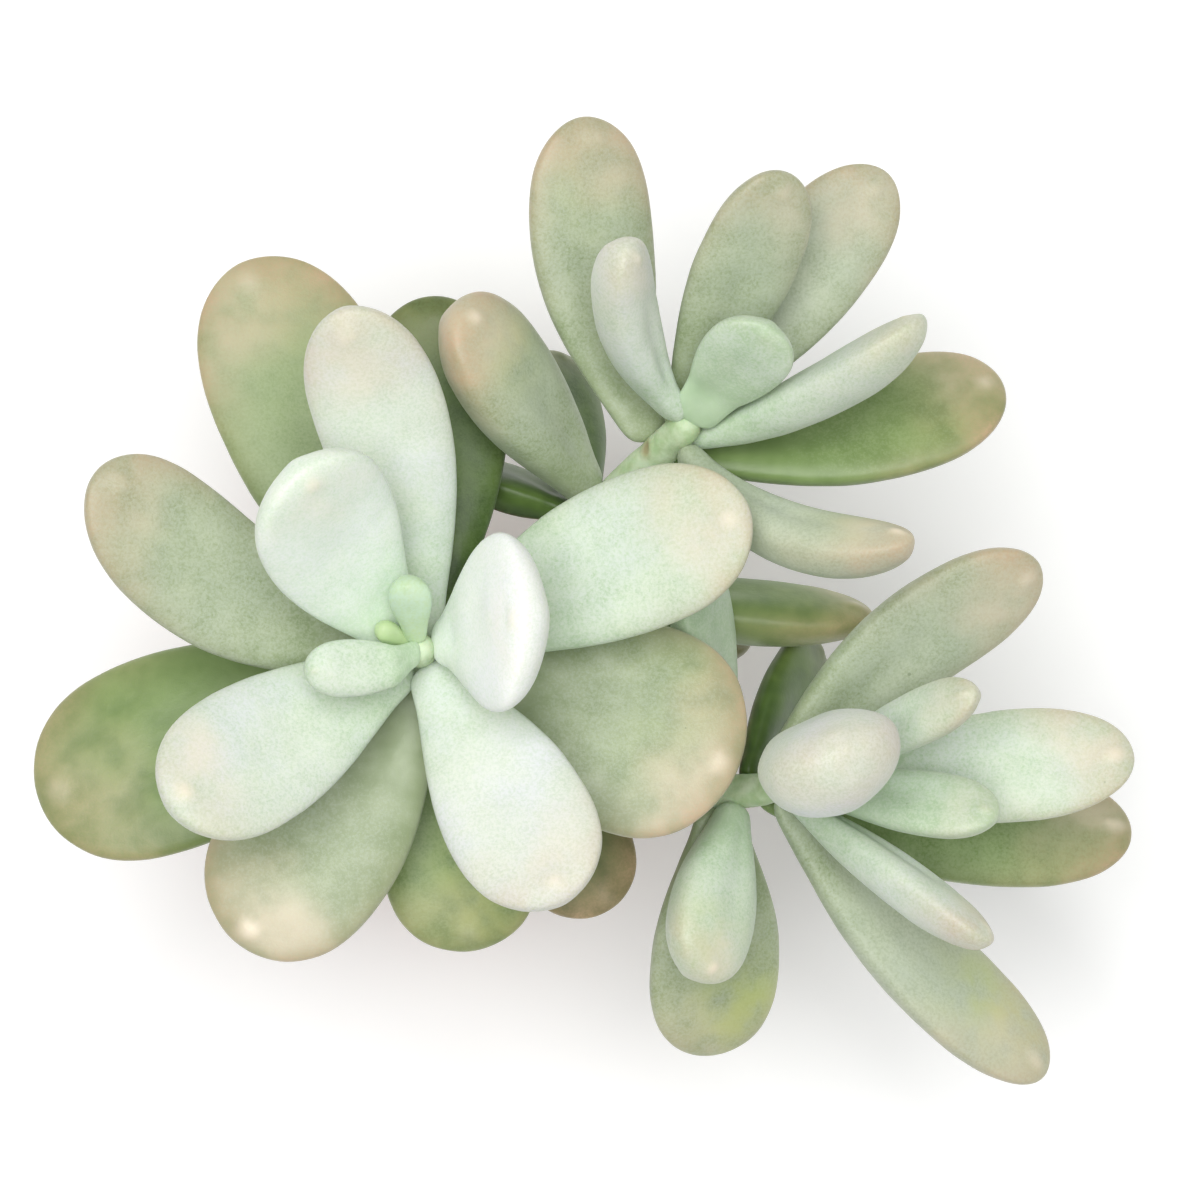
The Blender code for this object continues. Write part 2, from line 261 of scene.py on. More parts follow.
@dataclass
class StemSkin(Finish):
    """Fleshy green stem that turns to thin brown bark at the root, with dry leaf scars.

    The green part is matt and smooth; bark and scars are dull, lined and darker.
    """

    name: str = "succulent stem skin"
    green: str = "#CBDABA"
    green_deep: str = "#AEC596"
    bark: str = "#8A7458"
    bark_deep: str = "#6B5740"
    scar: str = "#A79C78"

    def build(self) -> bpy.types.Material:
        """Makes the material.

        Returns:
            The finished material.
        """
        self.begin(self.name, IOR=1.45, Subsurface_Weight=0.08, Subsurface_Scale=0.0015)
        bark = self.add("Attribute", output="Fac", attribute_name="bark")
        scar = self.add("Attribute", output="Fac", attribute_name="scar")
        spots = {"Vector": self.place, "Scale": per_metre(4), "Detail": 4.0, "Roughness": 0.6}
        cloud = self.add("TexNoise", spots)
        grains = {"Scale": per_metre(0.6), "Detail": 3.0, "Roughness": 0.7}
        dust = self.add("TexNoise", spots | grains)
        deep = self.add("MapRange", (cloud, 0.35, 0.65), **EASED)
        skin = {0: deep, UNDER: self.green_deep, OVER: self.green}
        skin = self.add("Mix", skin, MIXED, **COLOURS)
        woody = self.add("Math", (bark, cloud), operation="ADD")
        woody = self.add("MapRange", (woody, 0.8, 1.2), **EASED)
        wood = self.add("Mix", {0: dust, UNDER: self.bark, OVER: self.bark_deep}, MIXED, **COLOURS)
        skin = self.add("Mix", {0: woody, UNDER: skin, OVER: wood}, MIXED, **COLOURS)
        skin = self.add("Mix", {0: scar, UNDER: skin, OVER: self.scar}, MIXED, **COLOURS)
        dull = self.add("MapRange", (woody, 0.0, 1.0, 0.5, 0.85), **EASED)
        rough = self.add("Bump", {"Height": dust, "Distance": 0.12 * MM})
        return self.feed(Base_Color=skin, Roughness=dull, Normal=rough)


@dataclass
class FiredClay(Finish):
    """Unglazed terracotta, turned and fired.

    Porous and matt, with fine grit, faint throwing lines, and a pale lime bloom where water
    has dried through the wall.
    """

    name: str = "unglazed terracotta"
    clay: str = "#B9694A"
    clay_deep: str = "#A75B3E"
    lime: str = "#D9BFA9"
    soot: str = "#8C4B33"

    def build(self) -> bpy.types.Material:
        """Makes the material.

        Returns:
            The finished material.
        """
        self.begin(self.name, IOR=1.5)
        lime = self.add("Attribute", output="Fac", attribute_name="lime")
        spots = {"Vector": self.place, "Scale": per_metre(16), "Detail": 4.0, "Roughness": 0.6}
        cloud = self.add("TexNoise", spots)
        # Clay grit is 0.2 to 0.5 mm.
        grains = {"Scale": per_metre(0.5), "Detail": 3.0, "Roughness": 0.7}
        grit = self.add("TexNoise", spots | grains)
        deep = self.add("MapRange", (cloud, 0.3, 0.7), **EASED)
        clay = self.add("Mix", {0: deep, UNDER: self.clay_deep, OVER: self.clay}, MIXED, **COLOURS)
        crust = self.add("Math", (lime, cloud), operation="ADD")
        crust = self.add("MapRange", (crust, 0.85, 1.35), **EASED)
        powder = self.add("MapRange", (grit, 0.3, 0.6, 0.5, 1.0), **EASED)
        crust = self.add("Math", (crust, powder), operation="MULTIPLY")
        clay = self.add("Mix", {0: crust, UNDER: clay, OVER: self.lime}, MIXED, **COLOURS)
        dark = self.add("MapRange", (grit, 0.55, 0.75, 0.0, 0.35), **EASED)
        clay = self.add("Mix", {0: dark, UNDER: clay, OVER: self.soot}, MIXED, **COLOURS)
        # Throwing lines, 1.8 mm apart up the wall: this pattern has 20 lines to one step of scale.
        rise = {"Vector": self.place, "Scale": per_metre(1.8) / 20, "Distortion": 1.2}
        lines = self.add("TexWave", rise, "Fac", wave_type="BANDS", bands_direction="Z")
        turned = self.add("Bump", {"Height": lines, "Distance": 0.05 * MM})
        rough = self.add("Bump", {"Height": grit, "Distance": 0.09 * MM, "Normal": turned})
        dull = self.add("MapRange", (grit, 0.0, 1.0, 0.78, 0.95), **EASED)
        return self.feed(Base_Color=clay, Roughness=dull, Normal=rough)


@dataclass
class PottingSoil(Finish):
    """Moist, gritty potting mix: dark crumbs, dull all over."""

    name: str = "gritty potting soil"
    peat: str = "#2B2018"
    crumb: str = "#5B4635"
    dry: str = "#8A745C"

    def build(self) -> bpy.types.Material:
        """Makes the material.

        Returns:
            The finished material.
        """
        self.begin(self.name, IOR=1.4)
        spots = {"Vector": self.place, "Scale": per_metre(1.8), "Detail": 5.0, "Roughness": 0.7}
        crumbs = self.add("TexNoise", spots)
        grains = {"Scale": per_metre(0.5), "Detail": 2.0, "Roughness": 0.5}
        fine = self.add("TexNoise", spots | grains)
        pale = self.add("MapRange", (crumbs, 0.35, 0.65), **EASED)
        soil = self.add("Mix", {0: pale, UNDER: self.peat, OVER: self.crumb}, MIXED, **COLOURS)
        grains = self.add("MapRange", (fine, 0.6, 0.72, 0.0, 0.5), **EASED)
        soil = self.add("Mix", {0: grains, UNDER: soil, OVER: self.dry}, MIXED, **COLOURS)
        dull = self.add("MapRange", (fine, 0.0, 1.0, 0.8, 1.0), **EASED)
        rough = self.add("Bump", {"Height": crumbs, "Distance": 0.5 * MM})
        return self.feed(Base_Color=soil, Roughness=dull, Normal=rough)


@dataclass
class MixedGrit(Finish):
    """Loose pieces on the soil: peat crumbs, bark, sand and pumice, each dry and dull."""

    name: str = "pumice and bark grit"
    peat: str = "#4A3626"
    bark: str = "#8B6A4A"
    sand: str = "#B7A68E"
    pumice: str = "#DDD6C6"
    pore: str = "#7A6A56"

    def build(self) -> bpy.types.Material:
        """Makes the material.

        Returns:
            The finished material.
        """
        self.begin(self.name, IOR=1.45)
        kind = self.add("Attribute", output="Fac", attribute_name="kind")
        spots = {"Vector": self.place, "Scale": per_metre(0.6), "Detail": 3.0, "Roughness": 0.7}
        pores = self.add("TexNoise", spots)
        barky = self.add("MapRange", (kind, 0.28, 0.30), **EASED)
        stone = self.add("Mix", {0: barky, UNDER: self.peat, OVER: self.bark}, MIXED, **COLOURS)
        sandy = self.add("MapRange", (kind, 0.58, 0.60), **EASED)
        stone = self.add("Mix", {0: sandy, UNDER: stone, OVER: self.sand}, MIXED, **COLOURS)
        pumiced = self.add("MapRange", (kind, 0.84, 0.86), **EASED)
        stone = self.add("Mix", {0: pumiced, UNDER: stone, OVER: self.pumice}, MIXED, **COLOURS)
        open_pores = self.add("MapRange", (pores, 0.45, 0.7, 0.0, 0.35), **EASED)
        stone = self.add("Mix", {0: open_pores, UNDER: stone, OVER: self.pore}, MIXED, **COLOURS)
        dull = self.add("MapRange", (pores, 0.0, 1.0, 0.8, 1.0), **EASED)
        rough = self.add("Bump", {"Height": pores, "Distance": 0.2 * MM})
        return self.feed(Base_Color=stone, Roughness=dull, Normal=rough)


@dataclass
class PaleBoard(Finish):
    """The studio's floor: a board painted matt white, plain all over.

    A little light comes up through it, as on a photographer's light table.
    """

    name: str = "matt white board"
    paint: str = "#FBFBFA"
    glow: float = 0.14

    def build(self) -> bpy.types.Material:
        """Makes the material.

        Returns:
            The finished material.
        """
        self.begin(
            self.name,
            Base_Color=linear(self.paint),
            Roughness=0.8,
            Emission_Color=linear("#FFFFFF"),
            Emission_Strength=self.glow,
        )
        return self.material


# ---------------------------------------------------------------- meshes


def smooth_step(values: np.ndarray, low: float, high: float) -> np.ndarray:
    """Rises smoothly from 0 where values are low to 1 where they are high."""
    share = np.clip((values - low) / (high - low), 0, 1)
    return share * share * (3 - 2 * share)


def closed_spline(points: np.ndarray, steps: int) -> np.ndarray:
    """Runs a smooth closed curve through points, along the first axis.

    Args:
        points: The points in order round the curve, of any further shape.
        steps: How many new points each given one becomes.

    Returns:
        steps times as many points. Each given point is kept.
    """
    turn = 2 * np.pi * np.fft.fftfreq(len(points))
    weight = ((4 + 2 * np.cos(turn)) / 6).reshape(-1, *[1] * (points.ndim - 1))
    knots = np.fft.ifft(np.fft.fft(points, axis=0) / weight, axis=0).real
    t = np.arange(steps) / steps
    shares = ((1 - t) ** 3, 3 * t**3 - 6 * t**2 + 4, -3 * t**3 + 3 * t**2 + 3 * t + 1, t**3)
    fine = 0
    for at, share in enumerate(shares):
        share = share.reshape(1, -1, *[1] * (points.ndim - 1)) / 6
        fine = fine + share * np.roll(knots, 1 - at, axis=0)[:, None]
    return fine.reshape(-1, *points.shape[1:])


def cloud_values(points: np.ndarray, size_mm: float, seed: float) -> np.ndarray:
    """Gives a smooth random value, from about -1 to 1, at each point.

    Args:
        points: Points in metres.
        size_mm: How far apart the bumps of the pattern are.
        seed: Moves the pattern, so that another piece gets another one.

    Returns:
        One value for each point.
    """
    shift = Vector((seed * 3.1, seed * 1.7, seed * 2.3))
    scale = per_metre(size_mm)
    return np.array([noise.noise(Vector(p) * scale + shift) for p in points])


def points_of(mesh: bpy.types.Mesh) -> np.ndarray:
    """Reads a mesh's points.

    Args:
        mesh: The mesh to read.

    Returns:
        One row for each point, in metres.
    """
    points = np.empty(len(mesh.vertices) * 3)
    mesh.vertices.foreach_get("co", points)
    return points.reshape(-1, 3)


def normals_of(mesh: bpy.types.Mesh) -> np.ndarray:
    """Reads the way the surface faces at each of a mesh's points.

    Args:
        mesh: The mesh to read.

    Returns:
        One row of length 1 for each point.
    """
    normals = np.empty(len(mesh.vertices) * 3)
    mesh.vertices.foreach_get("normal", normals)
    return normals.reshape(-1, 3)


def store(mesh: bpy.types.Mesh, name: str, values: np.ndarray) -> None:
    """Stores a value at each point of a mesh, for its material to read."""
    mesh.attributes.new(name, "FLOAT", "POINT").data.foreach_set("value", values.astype(np.float32))


def place_piece(
    name: str, mesh: bpy.types.Mesh, finish: bpy.types.Material, node: str | None = None
) -> bpy.types.Object:
    """Puts a finished mesh into the scene as a piece of the plant.

    Args:
        name: The piece's name.
        mesh: Its mesh, in the CAD's frame.
        finish: Its material.
        node: The CAD node that it stands for, if any.

    Returns:
        The new object.
    """
    piece = bpy.data.objects.new(name, mesh)
    bpy.context.scene.collection.objects.link(piece)
    mesh.materials.clear()
    mesh.materials.append(finish)
    mesh.shade_smooth()
    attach(piece, BODY)
    if node:
        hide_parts(node)
    return piece


# ---------------------------------------------------------------- leaves


class AgeAndShade(Enum):
    """How old a leaf is and how much shade is painted into it, which set its flesh and wax colours.
    """

    CROWN = "crown leaf skin"
    BUDDING = "budding leaf skin under white wax"
    YOUNG = "young leaf skin under thick wax"
    GROWN = "grown leaf skin under wax"
    # OLD skins are darker partly from being old and partly as painted shade on the lower leaves.
    # SHADED is a darker copy of the skin, with little wax, that paints the shade on leaves lying
    # under others.
    OLD = "old leaf skin, wax worn, with painted shade"
    SHADED = "shaded leaf skin, little wax"


# The darker OLD and SHADED skins are partly painted shade, for the shade that the lower and inner
# leaves lie in.
LEAF_SKINS = {
    AgeAndShade.CROWN: LeafSkin(AgeAndShade.CROWN.value, "#BFD3A4", "#ADC78C", "#C3DAC6", "#BBD3C0"),
    AgeAndShade.BUDDING: LeafSkin(AgeAndShade.BUDDING.value, "#DEEDD8", "#D3E6CE", "#FAFCF7", "#F7F9F9"),
    AgeAndShade.YOUNG: LeafSkin(AgeAndShade.YOUNG.value, "#BFD3B4", "#ABC49F", "#E3E7DC", "#E0E3E3"),
    AgeAndShade.GROWN: LeafSkin(AgeAndShade.GROWN.value, "#A1AD8B", "#88976F", "#C4CCB6", "#BBC5B2"),
    AgeAndShade.OLD: LeafSkin(AgeAndShade.OLD.value, "#80975E", "#6E864B", "#A4B389", "#98A87E"),
    AgeAndShade.SHADED: LeafSkin(AgeAndShade.SHADED.value, "#607A39", "#445D27", "#7A8F5D", "#6F8453"),
}


@dataclass(frozen=True)
class Leaf:
    """One leaf's looks. Each share runs from 0 to 1.

    bloom is how thick its wax lies, blush how much the sun has browned it, cream_highlight how much
    pale creamy colour and painted highlight lie on its raised tip, and bare how much yellow-green
    flesh shows near the tip.
    """

    node: str
    # Picks the skin, which for OLD and SHADED leaves also carries painted shade.
    age: AgeAndShade
    bloom: float = 0.8
    blush: float = 0.4
    cream_highlight: float = 0.4
    bare: float = 0.0


LEAVES = (
    Leaf("main_leaf_01", AgeAndShade.CROWN, 0.1, 0.0, 0.0),
    Leaf("main_leaf_02", AgeAndShade.CROWN, 0.8, 0.0, 0.1),
    Leaf("main_leaf_03", AgeAndShade.YOUNG, 0.6, 0.0, 0.2),
    Leaf("main_leaf_04", AgeAndShade.BUDDING, 1.0, 0.1, 0.6),
    Leaf("main_leaf_05", AgeAndShade.BUDDING, 0.6, 0.1, 0.6),
    Leaf("main_leaf_06", AgeAndShade.YOUNG, 1.0, 0.4, 0.6),
    Leaf("main_leaf_07", AgeAndShade.YOUNG, 0.8, 0.3, 1.0),
    Leaf("main_leaf_08", AgeAndShade.YOUNG, 0.9, 0.5, 0.6),
    Leaf("main_leaf_09", AgeAndShade.YOUNG, 0.6, 0.6, 0.6, 0.1),
    Leaf("main_leaf_10", AgeAndShade.GROWN, 0.6, 0.6, 0.4, 0.1),
    Leaf("main_leaf_11", AgeAndShade.GROWN, 0.3, 0.7, 1.0, 0.1),
    Leaf("main_leaf_12", AgeAndShade.GROWN, 0.35, 0.8, 0.7, 0.3),
    Leaf("main_leaf_13", AgeAndShade.SHADED, 0.5, 0.2, 0.0),
    Leaf("main_leaf_14", AgeAndShade.OLD, 0.0, 0.5, 0.3, 0.2),
    Leaf("main_leaf_15", AgeAndShade.OLD, 0.4, 0.3, 0.2, 0.9),
    Leaf("main_leaf_16", AgeAndShade.OLD, 0.8, 0.8, 0.4, 0.2),
    Leaf("main_leaf_17", AgeAndShade.SHADED, 0.2, 0.8, 0.1),
    Leaf("upper_leaf_01", AgeAndShade.YOUNG, 0.4, 0.1, 0.1),
    Leaf("upper_leaf_02", AgeAndShade.YOUNG, 0.9, 0.4, 0.5),
    Leaf("upper_leaf_03", AgeAndShade.GROWN, 0.6, 0.4, 0.4),
    Leaf("upper_leaf_04", AgeAndShade.YOUNG, 0.7, 0.4, 0.4),
    Leaf("upper_leaf_05", AgeAndShade.GROWN, 1.0, 0.7, 0.9, 0.5),
    Leaf("upper_leaf_06", AgeAndShade.GROWN, 0.7, 0.6, 0.4),
    Leaf("upper_leaf_07", AgeAndShade.OLD, 0.3, 0.8, 0.5, 0.2),
    Leaf("upper_leaf_08", AgeAndShade.GROWN, 0.6, 0.7, 0.4, 0.2),
    Leaf("upper_leaf_09", AgeAndShade.GROWN, 0.7, 0.9, 0.7, 0.6),
    Leaf("upper_leaf_10", AgeAndShade.SHADED, 0.3, 0.3, 0.0),
    Leaf("upper_leaf_11", AgeAndShade.SHADED, 0.1, 0.1, 0.0),
    Leaf("upper_leaf_12", AgeAndShade.OLD, 0.1, 0.6, 0.4, 0.3),
    Leaf("upper_leaf_13", AgeAndShade.SHADED, 0.3, 0.4, 0.0),
    Leaf("lower_leaf_01", AgeAndShade.YOUNG, 0.4, 0.2, 0.3),
    Leaf("lower_leaf_02", AgeAndShade.YOUNG, 1.0, 0.4, 0.2),
    Leaf("lower_leaf_03", AgeAndShade.YOUNG, 0.6, 0.5, 0.3),
    Leaf("lower_leaf_04", AgeAndShade.YOUNG, 0.6, 0.6, 0.8),
    Leaf("lower_leaf_05", AgeAndShade.YOUNG, 0.8, 0.6, 0.5, 0.3),
    Leaf("lower_leaf_06", AgeAndShade.GROWN, 0.7, 0.7, 0.5),
    Leaf("lower_leaf_07", AgeAndShade.OLD, 0.5, 0.8, 1.0, 0.1),
    Leaf("lower_leaf_08", AgeAndShade.GROWN, 0.9, 0.5, 0.6, 0.9),
    Leaf("lower_leaf_09", AgeAndShade.SHADED, 0.1, 0.2, 0.0),
    Leaf("lower_leaf_10", AgeAndShade.YOUNG, 0.6, 0.4, 1.0, 0.6),
    Leaf("lower_leaf_11", AgeAndShade.GROWN, 0.5, 0.3, 0.3, 1.0),
    Leaf("lower_leaf_12", AgeAndShade.YOUNG, 0.3, 0.0, 0.0),
)


class LeafForm:
    """A leaf's smooth surface: rows of points from base to tip, each a ring round the leaf.

    A ring starts at one edge and goes over the upper face first.
    """

    steps_along: int = 6
    steps_round: int = 5

    def __init__(self, node: str, stem: KDTree) -> None:
        """Reads the CAD leaf and smooths it.

        Args:
            node: The CAD leaf's name.
            stem: The stem's points, which tell the leaf's base from its tip.
        """
        rings = self.read_rings(node, stem)
        rings = self.turn_rings(rings)
        sides = rings.shape[1]
        half = sides // 2
        # A closed loop up one side and down the opposite one has no break at either end.
        loops = np.concatenate([rings[:, :half], rings[-2:0:-1, half:]])
        loops = closed_spline(loops, self.steps_along)
        top = (len(rings) - 1) * self.steps_along
        there = loops[: top + 1]
        back = np.concatenate([loops[:1], loops[: top - 1 : -1]])
        rows = np.concatenate([there, back], axis=1)
        self.rows = closed_spline(rows.swapaxes(0, 1), self.steps_round).swapaxes(0, 1)
        self.around = self.rows.shape[1]
        middles = self.rows.mean(axis=1)
        lengths = np.linalg.norm(np.diff(middles, axis=0), axis=1)
        self.length = lengths.sum()
        along = np.concatenate([[0], np.cumsum(lengths)]) / self.length
        self.along = np.repeat(along, self.around).reshape(len(along), -1)
        girth = np.linalg.norm(self.rows - middles[:, None], axis=2).mean(axis=1)
        # Across and upper fade to nought at the two ends, where all sides meet in one point.
        share = np.clip(girth / girth.max() / 0.6, 0, 1)[:, None]
        turn = 2 * np.pi * np.arange(self.around) / self.around
        self.across = share * np.cos(turn)
        self.upper = share * np.sin(turn)

    @staticmethod
    def read_rings(node: str, stem: KDTree) -> np.ndarray:
        """Reads the CAD leaf's points, ring by ring.

        Args:
            node: The CAD leaf's name.
            stem: The stem's points.

        Returns:
            Rings from base to tip. The first and the last hold one point, repeated.
        """
        blank = bmesh.new()
        blank.from_mesh(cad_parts[node].data)
        bmesh.ops.remove_doubles(blank, verts=blank.verts, dist=2e-6)
        ends = sorted(blank.verts, key=lambda v: -len(v.link_edges))[:2]
        ends.sort(key=lambda v: stem.find(v.co)[2])
        seen = {ends[0]}
        rings = []
        ring = [ends[0]]
        while ring:
            rings.append(ring)
            beside = {e.other_vert(v) for v in ring for e in v.link_edges} - seen
            seen |= beside
            ring = []
            rest = set(beside)
            while rest:
                joined = {e.other_vert(v) for v in ring[-1:] for e in v.link_edges} & rest
                ring.append(min(joined or rest, key=lambda v: v.index))
                rest.remove(ring[-1])
        sides = len(rings[1])
        found = np.array([[v.co[:] for v in (r if len(r) == sides else r * sides)] for r in rings])
        blank.free()
        return found

    @staticmethod
    def turn_rings(rings: np.ndarray) -> np.ndarray:
        """Lines the rings up, so that each starts at the same edge and goes over the upper face.

        Args:
            rings: Rings whose points each go round, from any start and either way.

        Returns:
            The same rings, lined up.
        """
        middle = len(rings) // 2 + 1
        widest = rings[middle]
        centre = widest.mean(axis=0)
        away = np.linalg.norm(widest[:, None] - widest[None], axis=2)
        first, second = np.unravel_index(away.argmax(), away.shape)
        wide = widest[first] - widest[second]
        wide /= np.linalg.norm(wide)
        course = rings[middle + 1].mean(axis=0) - rings[middle - 1].mean(axis=0)
        up = np.cross(wide, course)
        up /= np.linalg.norm(up)
        # The upper face is flatter, so it lies nearer to the line between the edges.
        level = (widest - (widest[first] + widest[second]) / 2) @ up
        if level.max() > -level.min():
            up = -up
            wide = -wide
        turned = rings.copy()
        start = centre + wide * away.max() / 2
        for at in range(middle, 0, -1):
            turned[at] = LeafForm.lined_up(rings[at], start, up)
            start = turned[at][0]
        start = turned[middle][0]
        for at in range(middle + 1, len(rings) - 1):
            turned[at] = LeafForm.lined_up(rings[at], start, up)
            start = turned[at][0]
        return turned

    @staticmethod
    def lined_up(ring: np.ndarray, start: np.ndarray, up: np.ndarray) -> np.ndarray:
        """Starts a ring at its point nearest to a place, and turns it so that it goes up first.

        Args:
            ring: The points round the leaf.
            start: The place that its first point is nearest to.
            up: The way that the leaf's upper face looks.

        Returns:
            The same ring, lined up.
        """
        ring = np.roll(ring, -int(np.linalg.norm(ring - start, axis=1).argmin()), axis=0)
        quarter = len(ring) // 4
        if (ring[quarter] - ring[-quarter]) @ up < 0:
            ring = np.roll(ring[::-1], 1, axis=0)
        return ring

    def seat_base(self, reach: float, bark: BVHTree) -> None:
        """Draws the base out, so that it grows into the stem.

        Args:
            reach: How far, in metres. A base that would still miss the stem goes straight to
                the nearest spot on it, and in by as much.
            bark: The stem's surface.
        """
        foot = Vector(self.rows[0, 0])
        toward = foot - Vector(self.rows[self.steps_along * 2].mean(axis=0))
        step = toward.normalized() * reach
        spot, outward, _, _ = bark.find_nearest(foot + step)
        if (foot + step - spot).dot(outward) > 0:
            spot, _, _, gap = bark.find_nearest(foot)
            step = (spot - foot) * (1 + reach / gap)
        # The draw fades out up the leaf, over a longer stretch where the step is long.
        fade = max(0.12, 1.5 * step.length / self.length)
        share = 1 - smooth_step(self.along, 0.0, fade)
        self.rows = self.rows + share[..., None] * np.array(step)

    def mesh(self, name: str) -> bpy.types.Mesh:
        """Makes the leaf's mesh: one point at each end and rings between.

        Args:
            name: The mesh's name.

        Returns:
            The closed mesh.
        """
        inner = self.rows[1:-1].reshape(-1, 3)
        points = np.concatenate([self.rows[:1, 0], inner, self.rows[-1:, 0]])
        count = len(self.rows) - 2
        last = len(points) - 1
        at = 1 + np.arange(count * self.around).reshape(count, -1)
        beside = np.roll(at, -1, axis=1)
        faces = np.stack([at[:-1], beside[:-1], beside[1:], at[1:]], -1).reshape(-1, 4).tolist()
        faces += [[0, int(b), int(a)] for a, b in zip(at[0], beside[0])]
        faces += [[last, int(a), int(b)] for a, b in zip(at[-1], beside[-1])]
        mesh = bpy.data.meshes.new(name)
        mesh.from_pydata(points.tolist(), [], faces)
        work = bmesh.new()
        work.from_mesh(mesh)
        bmesh.ops.recalc_face_normals(work, faces=work.faces)
        work.to_mesh(mesh)
        work.free()
        mesh.update()
        return mesh

    def by_point(self, values: np.ndarray) -> np.ndarray:
        """Lists values of the rows in the order of the mesh's points."""
        return np.concatenate([values[0, :1], values[1:-1].ravel(), values[-1, :1]])


@dataclass
class Foliage:
    """All the leaves. Lengths are in metres.

    seat_reach is how far a leaf's base goes into the stem. unevenness is how far the skin
    swells and sinks, channel_depth how deep the upper face sinks along its middle, keel_height
    how far the under face stands out along its own, and tip_point how far the blunt point at
    the tip does. A leaf shorter than full_length has all of them in proportion. point_at is
    where the blunt point is, as a share of the way from base to tip.
    """

    seat_reach: float = 0.0009
    unevenness: float = 0.00028
    channel_depth: float = 0.0008
    keel_height: float = 0.0004
    tip_point: float = 0.00045
    full_length: float = 0.040
    point_at: float = 0.945

    def build(self) -> int:
        """Builds and dresses every leaf.

        Returns:
            How many leaves there are.
        """
        stem_points = points_of(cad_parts["stem"].data)
        stem = KDTree(len(stem_points))
        for at, point in enumerate(stem_points):
            stem.insert(point, at)
        stem.balance()
        bark = BVHTree.FromPolygons(
            [Vector(point) for point in stem_points],
            [face.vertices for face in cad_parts["stem"].data.polygons],
        )
        skins = {age: skin.build() for age, skin in LEAF_SKINS.items()}
        for seed, leaf in enumerate(LEAVES):
            form = LeafForm(leaf.node, stem)
            form.seat_base(self.seat_reach, bark)
            mesh = form.mesh(leaf.node + "_skin")
            self.shape(mesh, form, seed)
            self.dress(mesh, form, leaf, seed)
            place_piece(mesh.name, mesh, skins[leaf.age], leaf.node)
        return len(LEAVES)

    def shape(self, mesh: bpy.types.Mesh, form: LeafForm, seed: int) -> None:
        """Gives a smooth leaf its small swellings, its channel and its blunt point.

        Args:
            mesh: The leaf's mesh, which is changed.
            form: The form that it was made from.
            seed: Sets its own pattern of swellings.
        """
        points = points_of(mesh)
        along = form.by_point(form.along)
        across = form.by_point(form.across)
        upper = form.by_point(form.upper)
        size = min(1.0, form.length / self.full_length)
        swell = 0.7 * cloud_values(points, 15, seed) + 0.3 * cloud_values(points, 5, seed + 50)
        push = swell * self.unevenness * size * smooth_step(along, 0.04, 0.2)
        # A shallow channel runs up the middle of the upper face from the base.
        channel = smooth_step(upper, 0.2, 1.0) * np.exp(-((across / 0.4) ** 2))
        stretch = smooth_step(along, 0.05, 0.25) * (1 - smooth_step(along, 0.5, 0.8))
        push -= self.channel_depth * size * channel * stretch
        # A low keel runs down the middle of the under face to the tip.
        keel = smooth_step(-upper, 0.3, 1.0) * np.exp(-((across / 0.28) ** 2))
        push += self.keel_height * size * keel * smooth_step(along, 0.4, 0.75)
        # The blunt point that every leaf ends in stands on the upper face, just short of the end.
        near = np.exp(-(((along - self.point_at) / 0.035) ** 2) - (across / 0.25) ** 2)
        push += self.tip_point * size * near * smooth_step(upper, -0.2, 0.2)
        points += push[:, None] * normals_of(mesh)
        mesh.vertices.foreach_set("co", points.ravel())
        mesh.update()

    def dress(self, mesh: bpy.types.Mesh, form: LeafForm, leaf: Leaf, seed: int) -> None:
        """Stores where the wax, the blush, the polish and the bare flesh lie on a leaf.

        Args:
            mesh: The leaf's mesh, which gets the values.
            form: The form that it was made from.
            leaf: The leaf's looks.
            seed: Sets to which side of the leaf its marks lean.
        """
        along = form.by_point(form.along)
        across = form.by_point(form.across)
        upper = form.by_point(form.upper)
        points = points_of(mesh)
        lean = 0.35 * math.sin(2.4 * seed)
        drift = 0.10 * cloud_values(points, 9, seed + 20)
        edge = np.abs(across) ** 4
        tip = smooth_step(along + drift, 0.66, 1.02)
        rim = edge * smooth_step(along + drift, 0.35, 0.85)
        blush = leaf.blush * np.clip(0.85 * tip + 0.5 * rim, 0, 1)
        # cream_highlight: a pale creamy patch round the tip, with a painted highlight on the raised
        # point, on the upper face only.
        aside = (across - 0.3 * lean) / 0.23
        point = np.exp(-(((along - self.point_at) / 0.034) ** 2) - aside**2)
        wide = np.exp(-(((along + drift - 0.86) / 0.11) ** 2) - ((across - lean) / 0.6) ** 2)
        cream_highlight = leaf.cream_highlight * np.maximum(0.9 * point, 0.4 * wide) * smooth_step(upper, -0.5, 0.1)
        patch = np.exp(-(((along - 0.80) / 0.19) ** 2) - ((across + lean) / 0.85) ** 2)
        # Wax lies thinner on sunned edges and at the tip. It is drawn thinner towards the base too,
        # partly for thinner wax there and partly to paint the shade near the stem as darker,
        # greener skin.
        thin = 0.25 * leaf.blush * edge + 0.15 * smooth_step(along, 0.8, 1.0)
        thin += 0.35 * (1 - smooth_step(along, 0.1, 0.55))
        store(mesh, "bloom", leaf.bloom - thin)
        store(mesh, "blush", blush)
        store(mesh, "cream_highlight", cream_highlight)
        bare = 0.75 * leaf.bare * patch * smooth_step(upper, -0.6, 0.2)
        store(mesh, "bare", bare)


# ---------------------------------------------------------------- stem, soil and pot


